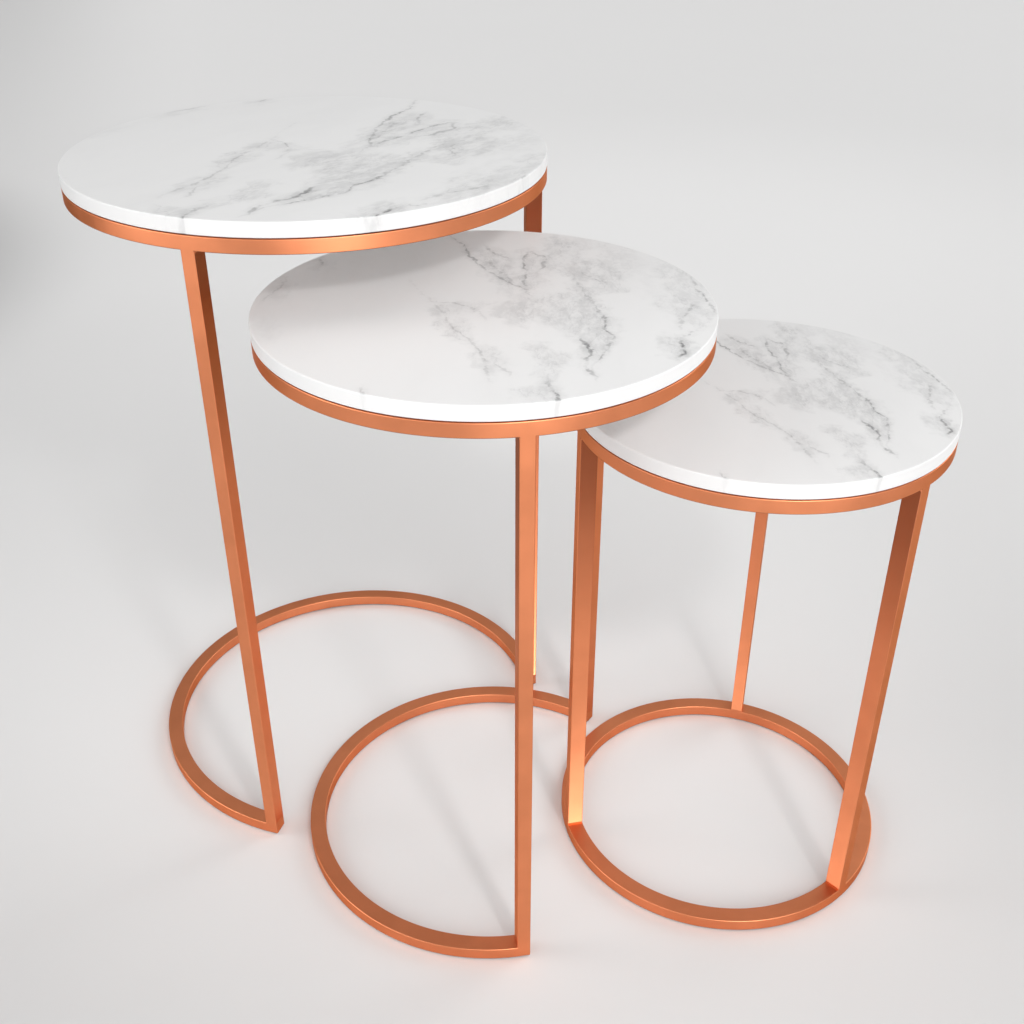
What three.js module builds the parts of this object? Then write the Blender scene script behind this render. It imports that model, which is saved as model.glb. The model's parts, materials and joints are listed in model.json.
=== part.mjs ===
// Three round nesting tables of one family: large, medium and small. Each has a marble disc on a
// welded metal frame. The large and medium frames stand on an open base arc, so that the next
// smaller table can slide in between their two legs. The small frame stands on a full base ring.
//
// Units are millimetres and +Z is up. The floor is z = 0, and the origin is at the middle of the
// set's footprint, with the small table towards +X and the large table towards -X.

import * as THREE from 'three';

// Frame bars: one rectangular section serves the rings, the arcs and the legs.
const BAR_WIDTH = 14.5;            // across the ring, from its outer to its inner edge
const BAR_HEIGHT = 11.3;           // height of a ring, and thickness of a leg round the circle

// Marble discs
const MARBLE_THICKNESS = 12;
const MARBLE_EASE = 0.9;           // chamfer on the upper and lower rim

// Clear pads between ring and marble, and slip-proof pads under the base
const TOP_PAD = { radius: 5, thickness: 0.6 };
const FOOT_PAD = { radius: 5, thickness: 1 };

// Facets round a full circle. An arc curve is divided into twice its curveSegments.
const RING_FACETS = 72;
const PAD_FACETS = 20;

// Angles are in degrees, counter-clockwise from +X, seen from above. The base of an open frame
// runs counter-clockwise from the leg at baseFrom to the leg at baseTo.
const TABLES = [
  {
    name: 'large',
    radius: 200,
    frameHeight: 590,              // underside of the base to the top of the top ring
    centre: { x: -159.75, y: 67.55 },
    legs: { front: -107.65, right: 11.1 },
    baseFrom: 11.1,
    baseTo: 252.35,
    padCount: 4,
  },
  {
    name: 'medium',
    radius: 175,
    frameHeight: 515,
    centre: { x: -10.25, y: -92.55 },
    legs: { front: -79.75, back: 53.6 },
    baseFrom: 53.6,
    baseTo: 280.25,
    padCount: 4,
  },
  {
    name: 'small',
    radius: 150,
    frameHeight: 440,
    centre: { x: 209.75, y: -87.55 },
    legs: { left: -168.3, right: -48.3, back: 71.7 },
    baseFrom: 71.7,
    baseTo: null,                  // a full ring
    padCount: 3,
  },
];

const MARBLE = { color: 0xe9e8e8, roughness: 0.22, metalness: 0 };
const COPPER = { color: 0xc87a55, roughness: 0.38, metalness: 0.9 };
const CLEAR_SILICONE = { color: 0xdadcdc, roughness: 0.5, metalness: 0 };
const FOOT_RUBBER = { color: 0x4a4644, roughness: 0.8, metalness: 0 };

const FULL_TURN = Math.PI * 2;
const radians = THREE.MathUtils.degToRad;

function namedMesh(name, geometry, look) {
  const mesh = new THREE.Mesh(geometry, new THREE.MeshStandardMaterial(look));
  mesh.name = name;
  return mesh;
}

function extruded(outline, height, facets) {
  const curveSegments = facets / 2;
  return new THREE.ExtrudeGeometry(outline, { depth: height, bevelEnabled: false, curveSegments });
}

// A full ring of the frame bar, lying flat with its underside at z = 0
function ringGeometry(radius) {
  const outline = new THREE.Shape();
  outline.absarc(0, 0, radius, 0, FULL_TURN, false);
  const hole = new THREE.Path();
  hole.absarc(0, 0, radius - BAR_WIDTH, 0, FULL_TURN, true);
  outline.holes.push(hole);
  return extruded(outline, BAR_HEIGHT, RING_FACETS);
}

// An open arc of the frame bar between two legs. Each end is cut flush with the far side of its
// leg, which is parallel to the leg's own radius and half a leg's thickness away from it.
function arcGeometry(radius, fromDegrees, toDegrees) {
  const innerRadius = radius - BAR_WIDTH;
  const outerOvershoot = Math.asin(BAR_HEIGHT / 2 / radius);
  const innerOvershoot = Math.asin(BAR_HEIGHT / 2 / innerRadius);
  const from = radians(fromDegrees);
  const to = radians(toDegrees);
  const outline = new THREE.Shape();
  outline.absarc(0, 0, radius, from - outerOvershoot, to + outerOvershoot, false);
  outline.absarc(0, 0, innerRadius, to + innerOvershoot, from - innerOvershoot, true);
  outline.closePath();
  const facets = Math.round((RING_FACETS / 2) * ((to - from) / FULL_TURN)) * 2;
  return extruded(outline, BAR_HEIGHT, facets);
}

// A solid marble disc with eased rims, its underside at z = 0
function marbleGeometry(radius) {
  const rim = radius - MARBLE_EASE;
  const profile = [
    new THREE.Vector2(0, 0),
    new THREE.Vector2(rim, 0),
    new THREE.Vector2(radius, MARBLE_EASE),
    new THREE.Vector2(radius, MARBLE_THICKNESS - MARBLE_EASE),
    new THREE.Vector2(rim, MARBLE_THICKNESS),
    new THREE.Vector2(0, MARBLE_THICKNESS),
  ];
  return new THREE.LatheGeometry(profile, RING_FACETS).rotateX(Math.PI / 2);
}

function padGeometry({ radius, thickness }) {
  const disc = new THREE.CylinderGeometry(radius, radius, thickness, PAD_FACETS);
  return disc.rotateX(Math.PI / 2).translate(0, 0, thickness / 2);
}

// Pads are spread evenly along the base, from leg to leg on an open base
function padAngles({ baseFrom, baseTo, padCount }) {
  const isRing = baseTo === null;
  const sweep = isRing ? 360 : baseTo - baseFrom;
  const gaps = isRing ? padCount : padCount - 1;
  return Array.from({ length: padCount }, (_, index) => baseFrom + (sweep * index) / gaps);
}

// Places a mesh at a distance from the table's axis, turned to face outwards at the given angle
function atAngle(degrees, distance, height, mesh) {
  const spoke = new THREE.Group();
  spoke.rotation.z = radians(degrees);
  mesh.position.set(distance, 0, height);
  spoke.add(mesh);
  return spoke;
}

function buildTable(table) {
  const { name, radius, frameHeight, centre, legs } = table;
  const group = new THREE.Group();
  group.position.set(centre.x, centre.y, 0);

  const baseUnderside = FOOT_PAD.thickness;
  const baseTop = baseUnderside + BAR_HEIGHT;
  const ringTop = baseUnderside + frameHeight;
  const ringUnderside = ringTop - BAR_HEIGHT;
  const barMiddle = radius - BAR_WIDTH / 2;

  const marble = namedMesh(`${name}_marble_top`, marbleGeometry(radius), MARBLE);
  marble.position.z = ringTop + TOP_PAD.thickness;
  group.add(marble);

  const topRing = namedMesh(`${name}_top_ring`, ringGeometry(radius), COPPER);
  topRing.position.z = ringUnderside;
  group.add(topRing);

  const isRing = table.baseTo === null;
  const baseName = isRing ? `${name}_base_ring` : `${name}_base_arc`;
  const baseShape = isRing ? ringGeometry(radius) : arcGeometry(radius, table.baseFrom, table.baseTo);
  const base = namedMesh(baseName, baseShape, COPPER);
  base.position.z = baseUnderside;
  group.add(base);

  // The legs stand on the base and carry the top ring. Their outer corners lie on its circle.
  const legLength = ringUnderside - baseTop;
  const legOuterFace = Math.sqrt(radius ** 2 - (BAR_HEIGHT / 2) ** 2);
  for (const [side, degrees] of Object.entries(legs)) {
    const shape = new THREE.BoxGeometry(BAR_WIDTH, BAR_HEIGHT, legLength);
    const leg = namedMesh(`${name}_${side}_leg`, shape, COPPER);
    group.add(atAngle(degrees, legOuterFace - BAR_WIDTH / 2, baseTop + legLength / 2, leg));
  }

  padAngles(table).forEach((degrees, index) => {
    const number = index + 1;
    const topPad = namedMesh(`${name}_top_pad_${number}`, padGeometry(TOP_PAD), CLEAR_SILICONE);
    const footPad = namedMesh(`${name}_foot_pad_${number}`, padGeometry(FOOT_PAD), FOOT_RUBBER);
    group.add(atAngle(degrees, barMiddle, ringTop, topPad));
    group.add(atAngle(degrees, barMiddle, 0, footPad));
  });
  return group;
}

const nestingTables = new THREE.Group();
for (const table of TABLES) {
  nestingTables.add(buildTable(table));
}

export default nestingTables;
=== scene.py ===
"""The looks of three round nesting tables: veined marble discs on welded copper frames.

Everything is in metres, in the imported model's own frame. The places and sizes of the tables come
from the CAD nodes. Each node gets a finer mesh here, and a procedural material.
"""

import json
import math
from types import SimpleNamespace

import bmesh
import bpy
from mathutils import Euler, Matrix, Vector


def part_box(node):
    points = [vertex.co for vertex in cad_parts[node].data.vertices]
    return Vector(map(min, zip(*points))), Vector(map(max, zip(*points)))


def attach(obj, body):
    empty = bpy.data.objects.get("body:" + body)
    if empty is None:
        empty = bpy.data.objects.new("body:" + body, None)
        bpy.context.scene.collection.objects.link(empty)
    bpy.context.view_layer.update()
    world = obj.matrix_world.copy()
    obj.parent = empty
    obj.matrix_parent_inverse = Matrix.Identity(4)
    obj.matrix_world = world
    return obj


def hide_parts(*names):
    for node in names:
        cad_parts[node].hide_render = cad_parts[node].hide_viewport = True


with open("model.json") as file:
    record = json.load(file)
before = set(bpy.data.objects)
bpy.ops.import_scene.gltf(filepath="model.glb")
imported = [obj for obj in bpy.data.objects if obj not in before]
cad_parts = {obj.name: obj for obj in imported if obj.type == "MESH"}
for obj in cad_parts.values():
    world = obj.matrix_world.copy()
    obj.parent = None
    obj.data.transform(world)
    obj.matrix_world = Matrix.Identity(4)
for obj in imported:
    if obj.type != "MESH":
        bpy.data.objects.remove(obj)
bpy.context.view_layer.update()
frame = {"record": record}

TABLES = ("large", "medium", "small")

# Frame bars
RING_STEP = math.radians(1.5)      # widest angle between two sections round a ring
BAR_EDGE_RADIUS = 0.0007           # eased edge of the metal bar
BAR_EDGE_SEGMENTS = 3
WELD_REACH = 0.0015                # how far a dressed weld runs down or up the leg
WELD_LEAN = math.radians(23)       # how far a leg's shading leans into the welds
LEG_FACE_AREA = 0.002              # a leg's four flat faces are each larger than this
SHARP_ANGLE = math.radians(40)     # edges at least this sharp are creases
WEIGHT_OF_LARGE_FACES = 90         # how much the large faces decide the shading of an eased edge

# Marble discs
DISC_STEPS = 256                   # round the rim
DISC_INNER_ROWS = 4                # rings of faces inside the rim
MARBLE_EDGE_RADIUS = 0.0011
MARBLE_EDGE_SEGMENTS = 5
MARBLE_TURN = {"large": math.radians(-35.2), "medium": 0.0, "small": math.radians(5.1)}
MARBLE_GROWTH = {"large": 1.05, "medium": 1.0, "small": 1.0}   # size of the pattern on its disc

# Pads
PAD_STEPS = 48
PAD_INNER_ROWS = 1
PAD_EDGE_RADIUS = 0.00025
PAD_EDGE_SEGMENTS = 3


# ---------------------------------------------------------------- tables

def middle(node):
    """The middle of a CAD node's box."""
    low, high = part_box(node)
    return (low + high) / 2


def bar_width(leg, angle, thickness):
    """The radial width of a leg, from the box of its turned rectangle."""
    low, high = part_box(leg)
    size = high - low
    return (size.x + size.y) / (abs(math.cos(angle)) + abs(math.sin(angle))) - thickness


def read_table(name):
    """A table's centre, radii, heights and leg directions."""
    body = f"{name}_table"
    nodes = frame["record"]["behaviour"]["bodies"][body]
    ring_low, ring_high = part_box(f"{name}_top_ring")
    centre = (ring_low + ring_high) / 2
    base = next(node for node in nodes if "_base_" in node)
    base_low, base_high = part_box(base)
    legs = {}
    for node in nodes:
        if node.endswith("_leg"):
            spoke = middle(node) - centre
            legs[node] = math.atan2(spoke.y, spoke.x)
    thickness = ring_high.z - ring_low.z
    first_leg, first_angle = next(iter(legs.items()))
    radius = (ring_high.x - ring_low.x) / 2
    return SimpleNamespace(
        name=name, body=body, nodes=nodes, base=base, legs=legs,
        centre=Vector((centre.x, centre.y, 0)),
        radius=radius,
        inner_radius=radius - bar_width(first_leg, first_angle, thickness),
        half_leg=thickness / 2,
        ring_bottom=ring_low.z, ring_top=ring_high.z,
        base_bottom=base_low.z, base_top=base_high.z,
    )


# ---------------------------------------------------------------- mesh helpers

def new_object(name, mesh):
    piece = bpy.data.objects.new(name, mesh)
    bpy.context.scene.collection.objects.link(piece)
    return piece


def finished_mesh(name, bm):
    """A smooth-shaded mesh with creases at its sharp edges."""
    bmesh.ops.recalc_face_normals(bm, faces=bm.faces)
    for face in bm.faces:
        face.smooth = True
    for edge in bm.edges:
        edge.smooth = edge.calc_face_angle(0.0) < SHARP_ANGLE
    mesh = bpy.data.meshes.new(name)
    bm.to_mesh(mesh)
    bm.free()
    return mesh


def add_weighted_normals(piece):
    """Keeps the flat faces flat, and shades only the eased edges between them."""
    modifier = piece.modifiers.new("weighted_normals", "WEIGHTED_NORMAL")
    modifier.keep_sharp = True
    modifier.weight = WEIGHT_OF_LARGE_FACES


def place(piece, table, material, slot, *nodes):
    """Gives a piece its material, and lets it stand for its CAD nodes."""
    piece.data.materials.clear()
    piece.data.materials.append(material)
    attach(piece, table.body)
    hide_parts(*nodes)


def lathed(name, profile, steps):
    """A closed body of revolution round Z, from (radius, height) points that begin and end at 0."""
    bm = bmesh.new()
    rows = []
    for radius, height in profile:
        if radius == 0:
            rows.append([bm.verts.new((0, 0, height))])
        else:
            row = []
            for step in range(steps):
                angle = math.tau * step / steps
                row.append(bm.verts.new((radius * math.cos(angle), radius * math.sin(angle), height)))
            rows.append(row)
    for lower, upper in zip(rows, rows[1:]):
        for step in range(steps):
            after = (step + 1) % steps
            if len(lower) == 1:
                bm.faces.new((lower[0], upper[after], upper[step]))
            elif len(upper) == 1:
                bm.faces.new((lower[step], lower[after], upper[0]))
            else:
                bm.faces.new((lower[step], lower[after], upper[after], upper[step]))
    return finished_mesh(name, bm)


def disc_profile(radius, thickness, edge, segments, inner_rows):
    """The profile of a disc with rounded rims, its underside at 0."""
    profile = [(radius * row / (inner_rows + 1), 0) for row in range(inner_rows + 1)]
    for corner, start in ((edge, -math.pi / 2), (thickness - edge, 0)):
        for step in range(segments + 1):
            turn = start + math.pi / 2 * step / segments
            profile.append((radius - edge + edge * math.cos(turn), corner + edge * math.sin(turn)))
    for row in range(inner_rows, -1, -1):
        profile.append((radius * row / (inner_rows + 1), thickness))
    return profile


# ---------------------------------------------------------------- frames

def leg_sides(table, angle):
    """The two sections that bound a leg, each as its angle on the outer and on the inner circle."""
    outer = math.asin(table.half_leg / table.radius)
    inner = math.asin(table.half_leg / table.inner_radius)
    return (angle - outer, angle - inner), (angle + outer, angle + inner)


def ring_sections(table, angles, closed):
    """Sections round a ring or an arc, and the numbers of those that begin a leg."""
    sections = []
    leg_starts = []
    stops = list(angles) + [angles[0] + math.tau] if closed else list(angles)
    for number, angle in enumerate(angles):
        low, high = leg_sides(table, angle)
        leg_starts.append(len(sections))
        sections += [low, high]
        if number + 1 < len(stops):
            following = leg_sides(table, stops[number + 1])[0]
            gaps = math.ceil((following[0] - high[0]) / RING_STEP)
            for gap in range(1, gaps):
                share = gap / gaps
                sections.append(tuple(a + (b - a) * share for a, b in zip(high, following)))
    return sections, leg_starts


def section_corners(bm, table, section, bottom, top):
    """The four corners of the bar at one section."""
    outer, inner = section
    corners = {}
    for side, radius, angle in (("out", table.radius, outer), ("in", table.inner_radius, inner)):
        x = table.centre.x + radius * math.cos(angle)
        y = table.centre.y + radius * math.sin(angle)
        corners[side + "_low"] = bm.verts.new((x, y, bottom))
        corners[side + "_high"] = bm.verts.new((x, y, top))
    return corners


def bar_between(bm, a, b, open_face):
    """The four long faces of the bar from section a to section b, without the open one."""
    sides = {
        "outer": (a["out_low"], b["out_low"], b["out_high"], a["out_high"]),
        "inner": (b["in_low"], a["in_low"], a["in_high"], b["in_high"]),
        "top": (a["out_high"], b["out_high"], b["in_high"], a["in_high"]),
        "bottom": (b["out_low"], a["out_low"], a["in_low"], b["in_low"]),
    }
    for side, corners in sides.items():
        if side != open_face:
            bm.faces.new(corners)


def add_ring(bm, table, angles, closed, bottom, top, leg_face):
    """One ring or arc of the frame. Its face towards each leg stays open. Returns the leg sections."""
    sections, leg_starts = ring_sections(table, angles, closed)
    corners = [section_corners(bm, table, section, bottom, top) for section in sections]
    count = len(corners)
    for number in range(count if closed else count - 1):
        open_face = leg_face if number in leg_starts else None
        bar_between(bm, corners[number], corners[(number + 1) % count], open_face)
    if not closed:
        first, last = corners[0], corners[-1]
        bm.faces.new((first["in_low"], first["out_low"], first["out_high"], first["in_high"]))
        bm.faces.new((last["out_low"], last["in_low"], last["in_high"], last["out_high"]))
    return [(corners[start], corners[start + 1]) for start in leg_starts]


def add_leg(bm, base, ring):
    """The four sides of a leg, from the base's upper face to the top ring's underside."""
    base_low, base_high = base
    ring_low, ring_high = ring
    feet = (base_low["out_high"], base_high["out_high"], base_high["in_high"], base_low["in_high"])
    heads = (ring_low["out_low"], ring_high["out_low"], ring_high["in_low"], ring_low["in_low"])
    for number in range(4):
        after = (number + 1) % 4
        bm.faces.new((feet[number], feet[after], heads[after], heads[number]))


def base_span(table):
    """The leg angles in the order that the base passes them, and whether the base is a full ring."""
    angles = sorted(table.legs.values())
    if table.base.endswith("_ring"):
        return angles, True
    towards = middle(table.base) - table.centre
    arc_middle = math.atan2(towards.y, towards.x)
    start, end = angles
    if not start < arc_middle < end:
        start, end = end, start + math.tau
    return [start, end], False


def whole_frame(table):
    """The welded frame as one closed body, with eased outer edges and crisp inner corners."""
    bm = bmesh.new()
    angles, closed = base_span(table)
    base_legs = add_ring(bm, table, angles, closed, table.base_bottom, table.base_top, "top")
    ring_legs = add_ring(bm, table, angles, True, table.ring_bottom, table.ring_top, "bottom")
    for base, ring in zip(base_legs, ring_legs):
        add_leg(bm, base, ring)
    bm.normal_update()
    edges = [e for e in bm.edges if e.is_convex and e.calc_face_angle(0.0) > SHARP_ANGLE]
    bmesh.ops.bevel(
        bm, geom=edges, affect="EDGES", offset=BAR_EDGE_RADIUS, offset_type="OFFSET",
        segments=BAR_EDGE_SEGMENTS, profile=0.5, clamp_overlap=True, loop_slide=True,
    )
    return bm


def cut_off(bm, height, keep_above):
    """Cuts the body at a height, keeps one side of it, and closes the cut."""
    result = bmesh.ops.bisect_plane(
        bm, geom=bm.verts[:] + bm.edges[:] + bm.faces[:], plane_co=(0, 0, height), plane_no=(0, 0, 1),
        clear_inner=keep_above, clear_outer=not keep_above,
    )
    rim = [item for item in result["geom_cut"] if isinstance(item, bmesh.types.BMEdge)]
    bmesh.ops.holes_fill(bm, edges=rim, sides=0)


def loose_parts(bm):
    """The separate bodies in a bmesh, each as a set of its vertices."""
    parts = []
    placed = set()
    for start in bm.verts:
        if start in placed:
            continue
        part = {start}
        front = [start]
        while front:
            vertex = front.pop()
            for edge in vertex.link_edges:
                other = edge.other_vert(vertex)
                if other not in part:
                    part.add(other)
                    front.append(other)
        placed |= part
        parts.append(part)
    return parts


def copy_of_part(bm, part):
    """A new bmesh that holds one of the separate bodies alone."""
    bm.verts.index_update()
    kept = {vertex.index for vertex in part}
    single = bm.copy()
    others = [vertex for vertex in single.verts if vertex.index not in kept]
    bmesh.ops.delete(single, geom=others, context="VERTS")
    return single


def angle_of(table, part):
    """The direction in which a separate body stands from the table's centre."""
    outward = sum((vertex.co for vertex in part), Vector()) / len(part) - table.centre
    return math.atan2(outward.y, outward.x)


def leg_at(table, angle):
    """The name of the leg nearest to an angle."""
    return min(table.legs, key=lambda leg: abs(math.remainder(table.legs[leg] - angle, math.tau)))


def lean_into_welds(mesh, outward):
    """Leans the shading of a leg towards the welds at its two ends.

    The side and inner faces lean by WELD_LEAN at each end and stand upright halfway. The outer
    face runs on into the rings, and keeps its own direction.
    """
    flat_faces = [face for face in mesh.polygons if face.area > LEG_FACE_AREA]
    upright = {corner: face.normal.copy() for face in flat_faces for corner in face.vertices}
    heights = [vertex.co.z for vertex in mesh.vertices]
    halfway = (min(heights) + max(heights)) / 2
    directions = []
    for vertex in mesh.vertices:
        normal = upright.get(vertex.index, vertex.normal.copy())
        normal.z = 0
        normal.normalize()
        share = 1 - max(0.0, normal.dot(outward))
        lean = math.tan(WELD_LEAN) * share * (1 if vertex.co.z < halfway else -1)
        directions.append((normal + Vector((0, 0, lean))).normalized())
    mesh.normals_split_custom_set_from_vertices(directions)


def add_frame(table, material):
    """The top ring, the base and the legs as separate pieces of the one welded frame."""
    welded = whole_frame(table)
    ring_cut = table.ring_bottom - WELD_REACH
    base_cut = table.base_top + WELD_REACH

    ring = welded.copy()
    cut_off(ring, ring_cut, keep_above=True)
    base = welded.copy()
    cut_off(base, base_cut, keep_above=False)
    cut_off(welded, ring_cut, keep_above=False)
    cut_off(welded, base_cut, keep_above=True)

    made = {f"{table.name}_top_ring": ring, table.base: base}
    leg_parts = {leg_at(table, angle_of(table, part)): part for part in loose_parts(welded)}
    for angle in base_span(table)[0]:
        leg = leg_at(table, angle)
        made[leg] = copy_of_part(welded, leg_parts[leg])
    welded.free()

    for node, bm in made.items():
        piece = new_object(node + "_bar", finished_mesh(node, bm))
        if node in table.legs:
            angle = table.legs[node]
            lean_into_welds(piece.data, Vector((math.cos(angle), math.sin(angle), 0)))
        else:
            add_weighted_normals(piece)
        place(piece, table, material, "copper_frame", node)


# ---------------------------------------------------------------- discs and pads

def add_marble(table, material):
    """The marble disc with its rounded rims."""
    node = f"{table.name}_marble_top"
    low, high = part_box(node)
    profile = disc_profile(
        table.radius, high.z - low.z, MARBLE_EDGE_RADIUS, MARBLE_EDGE_SEGMENTS, DISC_INNER_ROWS,
    )
    piece = new_object(f"{table.name}_marble_disc", lathed(node, profile, DISC_STEPS))
    piece.location = (table.centre.x, table.centre.y, low.z)
    add_weighted_normals(piece)
    place(piece, table, material, "marble", node)


def add_pads(table, kind, material, slot):
    """Small round pads with soft rims, one for each CAD pad of that kind."""
    for node in table.nodes:
        if f"_{kind}_" not in node:
            continue
        low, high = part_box(node)
        centre = (low + high) / 2
        radius = (high.x - low.x) / 2
        profile = disc_profile(
            radius, high.z - low.z, PAD_EDGE_RADIUS, PAD_EDGE_SEGMENTS, PAD_INNER_ROWS,
        )
        piece = new_object(node + "_dot", lathed(node, profile, PAD_STEPS))
        piece.location = (centre.x, centre.y, low.z)
        add_weighted_normals(piece)
        place(piece, table, material, slot, node)


# ---------------------------------------------------------------- shader helpers

class Shader:
    """Adds nodes to a new material and links them."""

    def __init__(self, name):
        self.material = bpy.data.materials.new(name)
        self.material.use_nodes = True
        self.tree = self.material.node_tree
        self.tree.nodes.clear()
        self.surface = self.tree.nodes.new("ShaderNodeBsdfPrincipled")
        output = self.tree.nodes.new("ShaderNodeOutputMaterial")
        self.tree.links.new(self.surface.outputs["BSDF"], output.inputs["Surface"])

    def link(self, source, socket):
        """Sets a socket to another node's output or to a plain value."""
        if isinstance(source, bpy.types.NodeSocket):
            self.tree.links.new(source, socket)
        else:
            socket.default_value = source

    def set_surface(self, **values):
        """Sets the shader's sockets by name, with _ for each space."""
        for name, value in values.items():
            self.link(value, self.surface.inputs[name.replace("_", " ")])

    def object_point(self):
        return self.tree.nodes.new("ShaderNodeTexCoord").outputs["Object"]

    def scaled(self, point, scale, turn=0.0):
        """The point scaled along its axes, then turned about Z."""
        node = self.tree.nodes.new("ShaderNodeMapping")
        self.link(point, node.inputs["Vector"])
        node.inputs["Scale"].default_value = scale
        node.inputs["Rotation"].default_value = (0, 0, turn)
        return node.outputs["Vector"]

    def math(self, operation, *values, clamp=False):
        node = self.tree.nodes.new("ShaderNodeMath")
        node.operation = operation
        node.use_clamp = clamp
        for value, socket in zip(values, node.inputs):
            self.link(value, socket)
        return node.outputs[0]

    def vector_math(self, operation, *values, output=0):
        node = self.tree.nodes.new("ShaderNodeVectorMath")
        node.operation = operation
        for value, socket in zip(values, node.inputs):
            self.link(value, socket)
        return node.outputs[output]

    def times(self, vector, factor):
        """A vector or a colour multiplied by a number."""
        node = self.tree.nodes.new("ShaderNodeVectorMath")
        node.operation = "SCALE"
        self.link(vector, node.inputs[0])
        self.link(factor, node.inputs["Scale"])
        return node.outputs[0]

    def axes(self, vector):
        """The X, Y and Z of a vector."""
        node = self.tree.nodes.new("ShaderNodeSeparateXYZ")
        self.link(vector, node.inputs[0])
        return node.outputs

    def smooth_step(self, value, start, end, low=0.0, high=1.0):
        """Runs smoothly from low to high as the value goes from start to end."""
        node = self.tree.nodes.new("ShaderNodeMapRange")
        node.interpolation_type = "SMOOTHSTEP"
        self.link(value, node.inputs["Value"])
        node.inputs["From Min"].default_value = start
        node.inputs["From Max"].default_value = end
        node.inputs["To Min"].default_value = low
        node.inputs["To Max"].default_value = high
        return node.outputs["Result"]

    def noise(self, point, scale, detail=4.0, roughness=0.5, colour=False):
        node = self.tree.nodes.new("ShaderNodeTexNoise")
        self.link(point, node.inputs["Vector"])
        node.inputs["Scale"].default_value = scale
        node.inputs["Detail"].default_value = detail
        node.inputs["Roughness"].default_value = roughness
        return node.outputs[1 if colour else 0]

    def warped(self, point, scale, amount, detail=3.0):
        """The point moved about by noise, at most about half the amount each way."""
        noise = self.noise(point, scale, detail, colour=True)
        centred = self.vector_math("SUBTRACT", noise, (0.5, 0.5, 0.5))
        return self.vector_math("ADD", point, self.times(centred, amount))

    def curve(self, value, points):
        """A smooth curve through (position, height) points, both from -1 to 1."""
        node = self.tree.nodes.new("ShaderNodeFloatCurve")
        curve = node.mapping.curves[0]
        points = sorted(points)
        while len(curve.points) < len(points):
            curve.points.new(0.5, 0.5)
        for point, (position, height) in zip(curve.points, points):
            point.location = ((position + 1) / 2, (height + 1) / 2)
            point.handle_type = "AUTO_CLAMPED"
        node.mapping.extend = "HORIZONTAL"
        node.mapping.update()
        share = self.math("MULTIPLY_ADD", value, 0.5, 0.5)
        self.link(share, node.inputs["Value"])
        return self.math("MULTIPLY_ADD", node.outputs["Value"], 2.0, -1.0)

    def mix(self, factor, first, second):
        node = self.tree.nodes.new("ShaderNodeMix")
        node.data_type = "RGBA"
        self.link(factor, node.inputs[0])
        self.link(first, node.inputs[6])
        self.link(second, node.inputs[7])
        return node.outputs[2]

    def bump(self, height, strength, distance):
        node = self.tree.nodes.new("ShaderNodeBump")
        node.inputs["Strength"].default_value = strength
        node.inputs["Distance"].default_value = distance
        self.link(height, node.inputs["Height"])
        return node.outputs["Normal"]


# ---------------------------------------------------------------- marble

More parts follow.
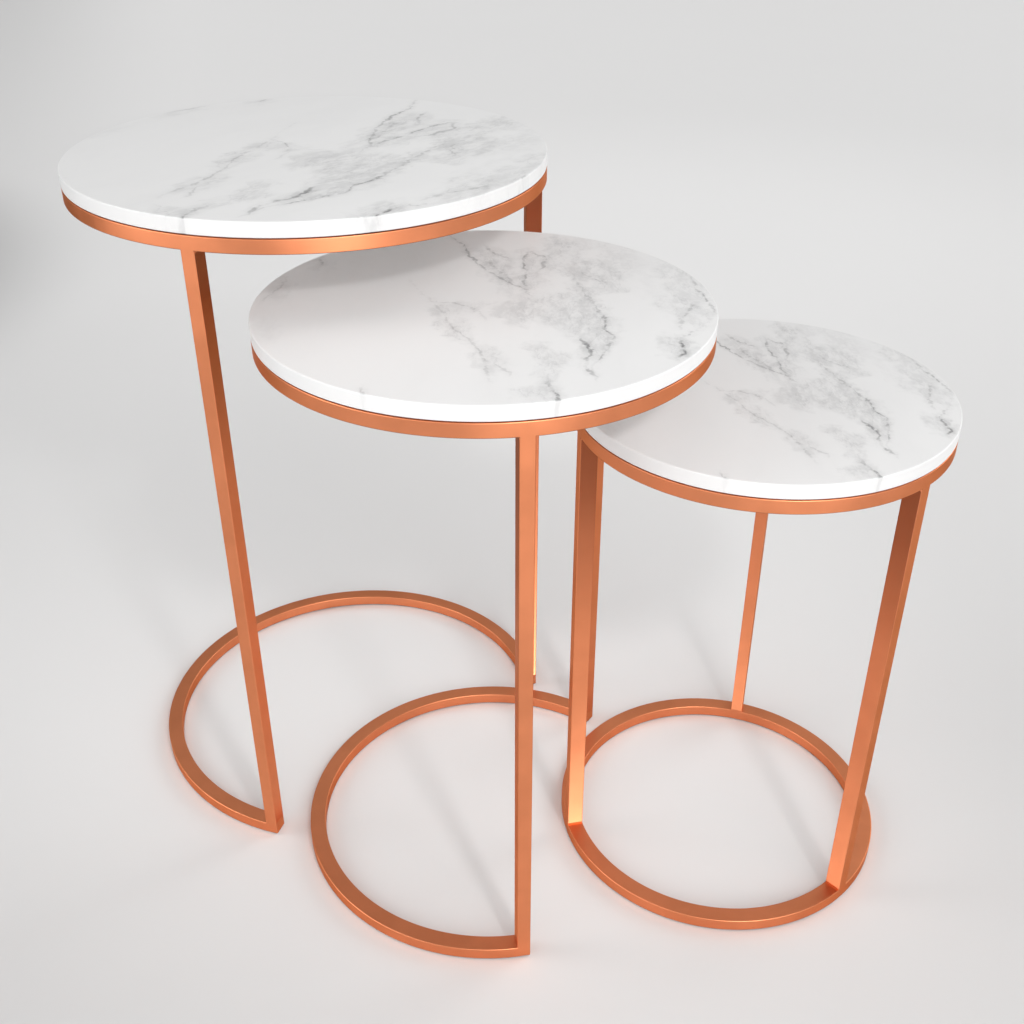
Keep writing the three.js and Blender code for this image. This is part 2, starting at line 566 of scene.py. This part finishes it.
# Veins and clouds lie on a disc of radius 1, with X to the right and Y to the back of the medium
# table. A vein is its half width and its points from back to front, as (x, y, darkness).
VEINS = (
    (0.010, ((-0.19, 0.90, 0.3), (-0.12, 0.76, 0.9), (-0.07, 0.60, 1.1), (-0.03, 0.48, 0.8),
             (0.02, 0.38, 0.6), (0.09, 0.27, 0.7), (0.17, 0.17, 0.8), (0.22, 0.06, 0.3))),
    (0.014, ((-0.01, 0.74, 0.2), (0.01, 0.68, 0.7), (0.06, 0.61, 0.8), (0.10, 0.57, 0.3))),
    (0.010, ((0.20, 0.68, 0.2), (0.18, 0.58, 0.9), (0.18, 0.48, 1.0), (0.19, 0.38, 0.6),
             (0.17, 0.28, 0.7), (0.19, 0.18, 0.3))),
    (0.013, ((0.22, 0.66, 0.5), (0.28, 0.58, 0.7), (0.27, 0.48, 0.7), (0.23, 0.38, 0.2))),
    (0.012, ((0.02, 0.52, 0.4), (0.06, 0.40, 0.6), (0.11, 0.28, 0.4))),
    (0.010, ((-0.34, 0.28, 0.1), (-0.28, 0.14, 0.2), (-0.23, 0.03, 0.3), (-0.19, -0.08, 0.4),
             (-0.15, -0.20, 0.5), (-0.11, -0.32, 0.5), (-0.05, -0.42, 0.4), (0.00, -0.52, 0.5),
             (0.02, -0.62, 0.5), (0.03, -0.78, 0.2))),
    (0.014, ((-0.22, 0.02, 0.2), (-0.12, -0.01, 0.6), (-0.04, -0.07, 0.5), (0.01, -0.16, 0.2))),
    (0.010, ((0.06, -0.62, 0.2), (0.08, -0.66, 0.5), (0.12, -0.72, 0.3))),
    (0.009, ((0.40, 0.32, 0.2), (0.42, 0.20, 0.5), (0.46, 0.04, 0.5), (0.50, -0.12, 0.9),
             (0.51, -0.30, 1.1), (0.53, -0.37, 0.6), (0.50, -0.48, 1.0), (0.45, -0.62, 0.8),
             (0.43, -0.70, 0.2))),
    (0.012, ((0.40, -0.39, 0.3), (0.415, -0.44, 1.1), (0.43, -0.52, 1.1), (0.41, -0.60, 0.8),
             (0.415, -0.68, 0.9), (0.43, -0.76, 0.2))),
    (0.013, ((0.24, -0.74, 0.1), (0.26, -0.82, 0.7), (0.275, -0.88, 1.2), (0.285, -0.97, 1.0))),
    (0.010, ((0.43, 0.38, 0.3), (0.47, 0.31, 0.9), (0.54, 0.25, 0.5))),
    (0.009, ((0.93, 0.30, 0.4), (0.94, 0.18, 0.6), (0.97, 0.03, 0.9), (0.98, -0.10, 0.4))),
    (0.012, ((0.90, 0.00, 0.3), (0.85, -0.14, 0.6), (0.81, -0.28, 0.3))),
    (0.013, ((0.92, -0.25, 0.2), (0.84, -0.34, 0.7), (0.80, -0.43, 1.2), (0.79, -0.53, 1.2),
             (0.76, -0.57, 0.3))),
    (0.010, ((-0.78, 0.58, 0.4), (-0.76, 0.50, 0.6), (-0.78, 0.42, 0.2))),
    (0.010, ((-0.90, 0.30, 0.2), (-0.92, 0.20, 0.4), (-0.95, 0.08, 0.4), (-0.97, 0.00, 0.2))),
    (0.010, ((-0.44, -0.84, 0.1), (-0.43, -0.88, 0.6), (-0.42, -0.92, 0.1))),
)

# A cloud is its middle, its half sizes, its counter-clockwise turn in degrees, and its darkness.
CLOUDS = (
    (0.23, 0.52, 0.08, 0.18, 8, 0.8),
    (0.04, 0.58, 0.08, 0.13, 20, 0.7),
    (0.07, 0.38, 0.07, 0.16, 25, 0.8),
    (0.20, 0.28, 0.06, 0.10, 0, 0.9),
    (0.18, 0.08, 0.08, 0.16, 15, 0.6),
    (0.13, -0.13, 0.06, 0.12, 10, 0.8),
    (-0.10, -0.05, 0.13, 0.06, 20, 0.7),
    (-0.13, -0.26, 0.06, 0.17, 20, 0.8),
    (0.02, -0.58, 0.06, 0.12, 10, 0.7),
    (0.31, -0.06, 0.15, 0.14, 20, 0.9),
    (0.42, -0.18, 0.12, 0.21, 10, 1.0),
    (0.43, 0.10, 0.06, 0.16, 10, 0.8),
    (0.46, -0.48, 0.06, 0.11, -20, 1.0),
    (0.22, -0.47, 0.06, 0.05, 0, 0.9),
    (0.29, -0.58, 0.07, 0.07, 0, 0.9),
    (0.24, -0.71, 0.05, 0.07, 0, 0.8),
    (0.21, -0.90, 0.08, 0.08, 0, 0.8),
    (0.38, 0.60, 0.06, 0.28, 8, 0.9),
    (0.47, 0.40, 0.11, 0.15, 30, 0.9),
    (0.60, 0.50, 0.08, 0.28, -5, 0.6),
    (0.50, 0.82, 0.12, 0.10, 0, 0.5),
    (0.56, 0.19, 0.07, 0.06, 0, 0.6),
    (0.73, 0.30, 0.04, 0.40, 4, 0.25),
    (0.88, 0.32, 0.09, 0.32, 5, 0.9),
    (0.86, -0.10, 0.07, 0.18, 20, 0.8),
    (0.77, -0.46, 0.06, 0.11, 0, 1.0),
    (-0.92, 0.20, 0.05, 0.16, 10, 0.4),
    (-0.87, -0.28, 0.04, 0.14, 10, 0.3),
    (-0.76, 0.50, 0.04, 0.10, 0, 0.3),
)


CLOUD_SPREAD = 1.5                 # a cloud fades out at this multiple of its half size

# How far each mark goes from white to dark
CLOUD_SHARE = 0.13
THREAD_SHARE = 0.09
VEIN_SHARE = 0.33
RIM_SHARE = 0.25                   # the marks' strength on the rim, against the faces

MARBLE_WHITE = (0.805, 0.803, 0.80, 1)
MARBLE_DARK = (0.10, 0.10, 0.105, 1)


def vein_mask(shader, x, y, half_width, points):
    """How strongly one vein shows: a thin line with a faint halo, broken along its length."""
    back, front = points[0], points[-1]
    route = shader.curve(y, [(point[1], point[0]) for point in points])
    ends = [(back[1] + 0.05, 0.0), (front[1] - 0.05, 0.0)]
    darkness = shader.curve(y, [(point[1], point[2]) for point in points] + ends)
    away = shader.math("ABSOLUTE", shader.math("SUBTRACT", x, route))
    line = shader.smooth_step(away, half_width, half_width * 0.2)
    halo = shader.smooth_step(away, half_width * 4.5, 0.0, high=0.3)
    return shader.math("MULTIPLY", shader.math("ADD", line, halo), darkness)


def cloud_mask(shader, point, cloud):
    """How strongly one soft grey cloud shows."""
    x, y, half_x, half_y, turn, darkness = cloud
    node = shader.tree.nodes.new("ShaderNodeMapping")
    node.vector_type = "TEXTURE"
    shader.link(point, node.inputs["Vector"])
    node.inputs["Location"].default_value = (x, y, 0)
    node.inputs["Rotation"].default_value = (0, 0, math.radians(turn))
    node.inputs["Scale"].default_value = (half_x * CLOUD_SPREAD, half_y * CLOUD_SPREAD, 1)
    reach = shader.vector_math("LENGTH", node.outputs["Vector"], output=1)
    return shader.smooth_step(reach, 1.0, 0.45, high=darkness)


def added(shader, values):
    """The sum of many shader values."""
    total = values[0]
    for value in values[1:]:
        total = shader.math("ADD", total, value)
    return total


def marble_material(table):
    """White marble with soft grey clouds and thin, broken, darker veins."""
    shader = Shader(f"{table.name}_marble")
    position = shader.object_point()
    unit_scale = 1 / (table.radius * MARBLE_GROWTH[table.name])
    unit = shader.scaled(position, (unit_scale,) * 3, -MARBLE_TURN[table.name])
    flat = shader.scaled(unit, (1, 1, 0.35))

    rough_point = shader.warped(shader.warped(flat, 6.0, 0.06), 30.0, 0.045, 5.0)
    x, y, _ = shader.axes(rough_point)
    veins = added(shader, [vein_mask(shader, x, y, width, points) for width, points in VEINS])
    breaks = shader.smooth_step(shader.noise(flat, 22.0, 5.0, 0.6), 0.40, 0.58, 0.25, 1.2)
    veins = shader.math("MULTIPLY", veins, breaks)

    cloud_point = shader.warped(shader.warped(flat, 5.0, 0.14), 18.0, 0.14, 6.0)
    clouds = added(shader, [cloud_mask(shader, cloud_point, cloud) for cloud in CLOUDS])
    clouds = shader.math("MINIMUM", clouds, 1.2)
    along = shader.scaled(flat, (1.0, 0.5, 1.0))
    streaks = shader.noise(along, 20.0, 8.0, 0.65)
    patches = shader.smooth_step(streaks, 0.36, 0.64, 0.25, 1.5)
    threads = shader.noise(shader.warped(along, 9.0, 0.08), 11.0, 5.0, 0.55)
    threads = shader.math("ABSOLUTE", shader.math("SUBTRACT", threads, 0.5))
    threads = shader.smooth_step(threads, 0.022, 0.0)
    threads = shader.math("MULTIPLY", threads, shader.smooth_step(clouds, 0.25, 0.8))
    clouds = shader.math("MULTIPLY", clouds, patches)

    drift = shader.noise(shader.scaled(flat, (1.0, 0.4, 1.0)), 2.6, 6.0, 0.6)
    drift = shader.smooth_step(drift, 0.40, 0.75, 0.0, 0.03)

    normal = shader.tree.nodes.new("ShaderNodeTexCoord").outputs["Normal"]
    upward = shader.math("ABSOLUTE", shader.axes(normal)["Z"])
    on_face = shader.smooth_step(upward, 0.2, 0.8, RIM_SHARE, 1.0)

    dark = shader.math("MULTIPLY", clouds, CLOUD_SHARE)
    dark = shader.math("MULTIPLY_ADD", threads, THREAD_SHARE, dark)
    dark = shader.math("MULTIPLY_ADD", veins, VEIN_SHARE, dark)
    dark = shader.math("MULTIPLY", dark, on_face)
    dark = shader.math("ADD", dark, drift, clamp=True)
    colour = shader.mix(dark, MARBLE_WHITE, MARBLE_DARK)

    gloss = shader.smooth_step(streaks, 0.3, 0.7, 0.46, 0.52)
    grain = shader.noise(position, 900.0, 3.0)
    shader.set_surface(
        Base_Color=colour, Roughness=gloss, IOR=1.42,
        Normal=shader.bump(grain, 0.02, 0.0001),
    )
    return shader.material


# ---------------------------------------------------------------- metal, silicone and rubber

COPPER_DEEP = (0.75, 0.262, 0.122, 1)
COPPER_PALE = (0.80, 0.285, 0.135, 1)
# painted shade colour, for faces whose shading leans down under a top ring
COPPER_PAINTED_SHADE = (0.16, 0.035, 0.018, 1)
COPPER_EDGE = (0.60, 0.42, 0.34, 1)    # keeps the metal coppery at a glancing view


def copper_material():
    """Satin copper: a fine even grain, with faint clouding in colour and in gloss.

    It is painted browner where its shading leans down, towards the welds under a top ring: painted
    shade that stands in for a dark reflection there.
    """
    shader = Shader("satin_copper")
    position = shader.object_point()
    clouding = shader.noise(position, 28.0, 5.0, 0.55)
    tone = shader.smooth_step(clouding, 0.3, 0.7)
    bright = shader.mix(tone, COPPER_DEEP, COPPER_PALE)
    normal = shader.tree.nodes.new("ShaderNodeNewGeometry").outputs["Normal"]
    # painted shade: browner where the shading leans down, in place of a dark reflection
    painted_shade = shader.smooth_step(shader.axes(normal)["Z"], -0.05, -0.40, 0.0, 0.62)
    colour = shader.mix(painted_shade, bright, COPPER_PAINTED_SHADE)
    gloss = shader.smooth_step(clouding, 0.3, 0.7, 0.39, 0.44)
    grain = shader.noise(position, 2600.0, 3.0, 0.6)
    shader.set_surface(
        Base_Color=colour, Metallic=1.0, Roughness=gloss, Specular_Tint=COPPER_EDGE,
        Normal=shader.bump(grain, 0.10, 0.0001),
    )
    return shader.material


def silicone_material():
    """Clear, slightly milky silicone."""
    shader = Shader("clear_silicone")
    haze = shader.noise(shader.object_point(), 700.0, 3.0)
    colour = shader.mix(haze, (0.80, 0.82, 0.82, 1), (0.90, 0.91, 0.91, 1))
    shader.set_surface(
        Base_Color=colour, Roughness=shader.smooth_step(haze, 0.3, 0.7, 0.30, 0.42),
        IOR=1.41, Transmission_Weight=0.6,
    )
    return shader.material


def rubber_material():
    """Matt grey-brown rubber with a fine moulded grain."""
    shader = Shader("foot_rubber")
    grain = shader.noise(shader.object_point(), 1500.0, 4.0, 0.6)
    colour = shader.mix(grain, (0.050, 0.046, 0.043, 1), (0.090, 0.084, 0.080, 1))
    shader.set_surface(
        Base_Color=colour, Roughness=shader.smooth_step(grain, 0.3, 0.7, 0.70, 0.88),
        Normal=shader.bump(grain, 0.35, 0.0002),
    )
    return shader.material


# ---------------------------------------------------------------- stage, lights and camera

FLOOR_HALF = 14.0
CAMERA_PLACE = (0.01065, -0.93825, 0.8573)
CAMERA_TILT = math.radians(58.751)
CAMERA_LENS = 41.607
SENSOR = 36.0

LIGHT_TARGET = Vector((0, 0, 0.3))
KEY_PLACE = Vector((0.518, -1.359, 1.54))
KEY_RADIUS = 0.08
KEY_CONE = math.radians(40)
KEY_POWER = 30

REFLECTOR_SIZE = 0.6
REFLECTOR_DISTANCE = 3.0
# Each reflector: name, azimuth and elevation in degrees, power
REFLECTORS = (
    ("front_reflector", -72, 8, 32),
    ("left_reflector", -160, 8, 17),
)

AIR_STRENGTH = 0.28
# Each soft light: azimuth and elevation in degrees, tightness, strength
SOFT_LIGHTS = (
    (-66, 24, 9, 3.1),             # front right, broad
    (30, 30, 30, 5.2),             # back right
    (180, 30, 30, 4.0),            # left
    (-135, 5, 30, 6.2),            # front left, close to the floor
    (90, 60, 24, 0.8),             # over the back
)


def add_floor():
    """A wide pale studio floor. Painted light makes it a little lighter behind the set, and painted
    shade makes it darker to the far left.
    """
    shader = Shader("studio_floor")
    point = shader.object_point()
    mottle = shader.noise(point, 1.3, 4.0)
    colour = shader.mix(mottle, (0.790, 0.785, 0.782, 1), (0.800, 0.797, 0.794, 1))
    # painted light: a pool of light on the floor behind the set
    from_painted_pool = shader.vector_math("DISTANCE", point, (0.45, 1.6, 0.0), output=1)
    painted_pool = shader.smooth_step(from_painted_pool, 1.5, 0.2, 1.0, 1.09)
    # painted shade: the floor falls darker to the left, and darker still near the far left corner
    leftward = shader.vector_math("DOT_PRODUCT", point, (-1.0, -0.25, 0.0), output=1)
    painted_falloff = shader.smooth_step(leftward, 0.25, 1.3, 1.0, 0.78)
    from_painted_dark = shader.vector_math("DISTANCE", point, (-2.1, 1.2, 0.0), output=1)
    edge = shader.smooth_step(from_painted_dark, 0.6, 1.3, 0.2, 1.0)
    # the floor's colour carries the painted light and the painted shade
    painted_light_and_shade = shader.math("MULTIPLY", shader.math("MULTIPLY", painted_pool, painted_falloff), edge)
    shader.set_surface(
        Base_Color=shader.times(colour, painted_light_and_shade), Roughness=0.85, Specular_IOR_Level=0.15,
    )
    bm = bmesh.new()
    bmesh.ops.create_grid(bm, x_segments=8, y_segments=8, size=FLOOR_HALF)
    mesh = bpy.data.meshes.new("studio_floor")
    bm.to_mesh(mesh)
    bm.free()
    floor = new_object("studio_floor", mesh)
    floor.data.materials.append(shader.material)


def direction(azimuth, elevation):
    """The unit vector towards an azimuth and an elevation in degrees."""
    turn, rise = math.radians(azimuth), math.radians(elevation)
    return (math.cos(rise) * math.cos(turn), math.cos(rise) * math.sin(turn), math.sin(rise))


def aim(lamp, place, target):
    """Puts a lamp at its place and points it at the target."""
    lamp.location = place
    lamp.rotation_euler = (target - place).to_track_quat("-Z", "Y").to_euler()


def add_key_light():
    """The light that throws the soft shadows. It fades out round the set."""
    light = bpy.data.lights.new("key_light", "SPOT")
    light.energy = KEY_POWER
    light.shadow_soft_size = KEY_RADIUS
    light.spot_size = KEY_CONE
    light.spot_blend = 1.0
    aim(new_object("key_light", light), KEY_PLACE, LIGHT_TARGET)


def add_reflector(name, azimuth, elevation, power):
    """A bright panel that shows only as a highlight on the metal."""
    light = bpy.data.lights.new(name, "AREA")
    light.shape = "DISK"
    light.size = REFLECTOR_SIZE
    light.energy = power
    lamp = new_object(name, light)
    away = REFLECTOR_DISTANCE * Vector(direction(azimuth, elevation))
    aim(lamp, LIGHT_TARGET + away, LIGHT_TARGET)
    lamp.visible_diffuse = False


def add_world():
    """An even dim studio with a few broad soft lights round the set."""
    world = bpy.data.worlds.new("studio_air")
    world.use_nodes = True
    tree = world.node_tree

    def calculated(operation, *values):
        node = tree.nodes.new("ShaderNodeMath")
        node.operation = operation
        for value, socket in zip(values, node.inputs):
            if isinstance(value, bpy.types.NodeSocket):
                tree.links.new(value, socket)
            else:
                socket.default_value = value
        return node.outputs[0]

    sight = tree.nodes.new("ShaderNodeTexCoord").outputs["Generated"]
    total = AIR_STRENGTH
    for azimuth, elevation, tightness, strength in SOFT_LIGHTS:
        facing = tree.nodes.new("ShaderNodeVectorMath")
        facing.operation = "DOT_PRODUCT"
        tree.links.new(sight, facing.inputs[0])
        facing.inputs[1].default_value = direction(azimuth, elevation)
        towards = calculated("MAXIMUM", facing.outputs["Value"], 0.0)
        total = calculated("MULTIPLY_ADD", calculated("POWER", towards, tightness), strength, total)
    background = tree.nodes["Background"]
    background.inputs["Color"].default_value = (1, 1, 1, 1)
    tree.links.new(total, background.inputs["Strength"])
    bpy.context.scene.world = world


def add_camera():
    camera = new_object("camera", bpy.data.cameras.new("camera"))
    camera.location = CAMERA_PLACE
    camera.rotation_euler = Euler((CAMERA_TILT, 0, 0))
    camera.data.lens = CAMERA_LENS
    camera.data.sensor_width = SENSOR
    camera.data.clip_start = 0.01
    camera.data.clip_end = 60
    bpy.context.scene.camera = camera


add_camera()
add_floor()
add_world()
add_key_light()
for reflector in REFLECTORS:
    add_reflector(*reflector)
bpy.context.scene.view_settings.view_transform = "Standard"

copper = copper_material()
silicone = silicone_material()
rubber = rubber_material()
for table_name in TABLES:
    table = read_table(table_name)
    add_frame(table, copper)
    add_marble(table, marble_material(table))
    add_pads(table, "top_pad", silicone, "clear_pads")
    add_pads(table, "foot_pad", rubber, "foot_pads")
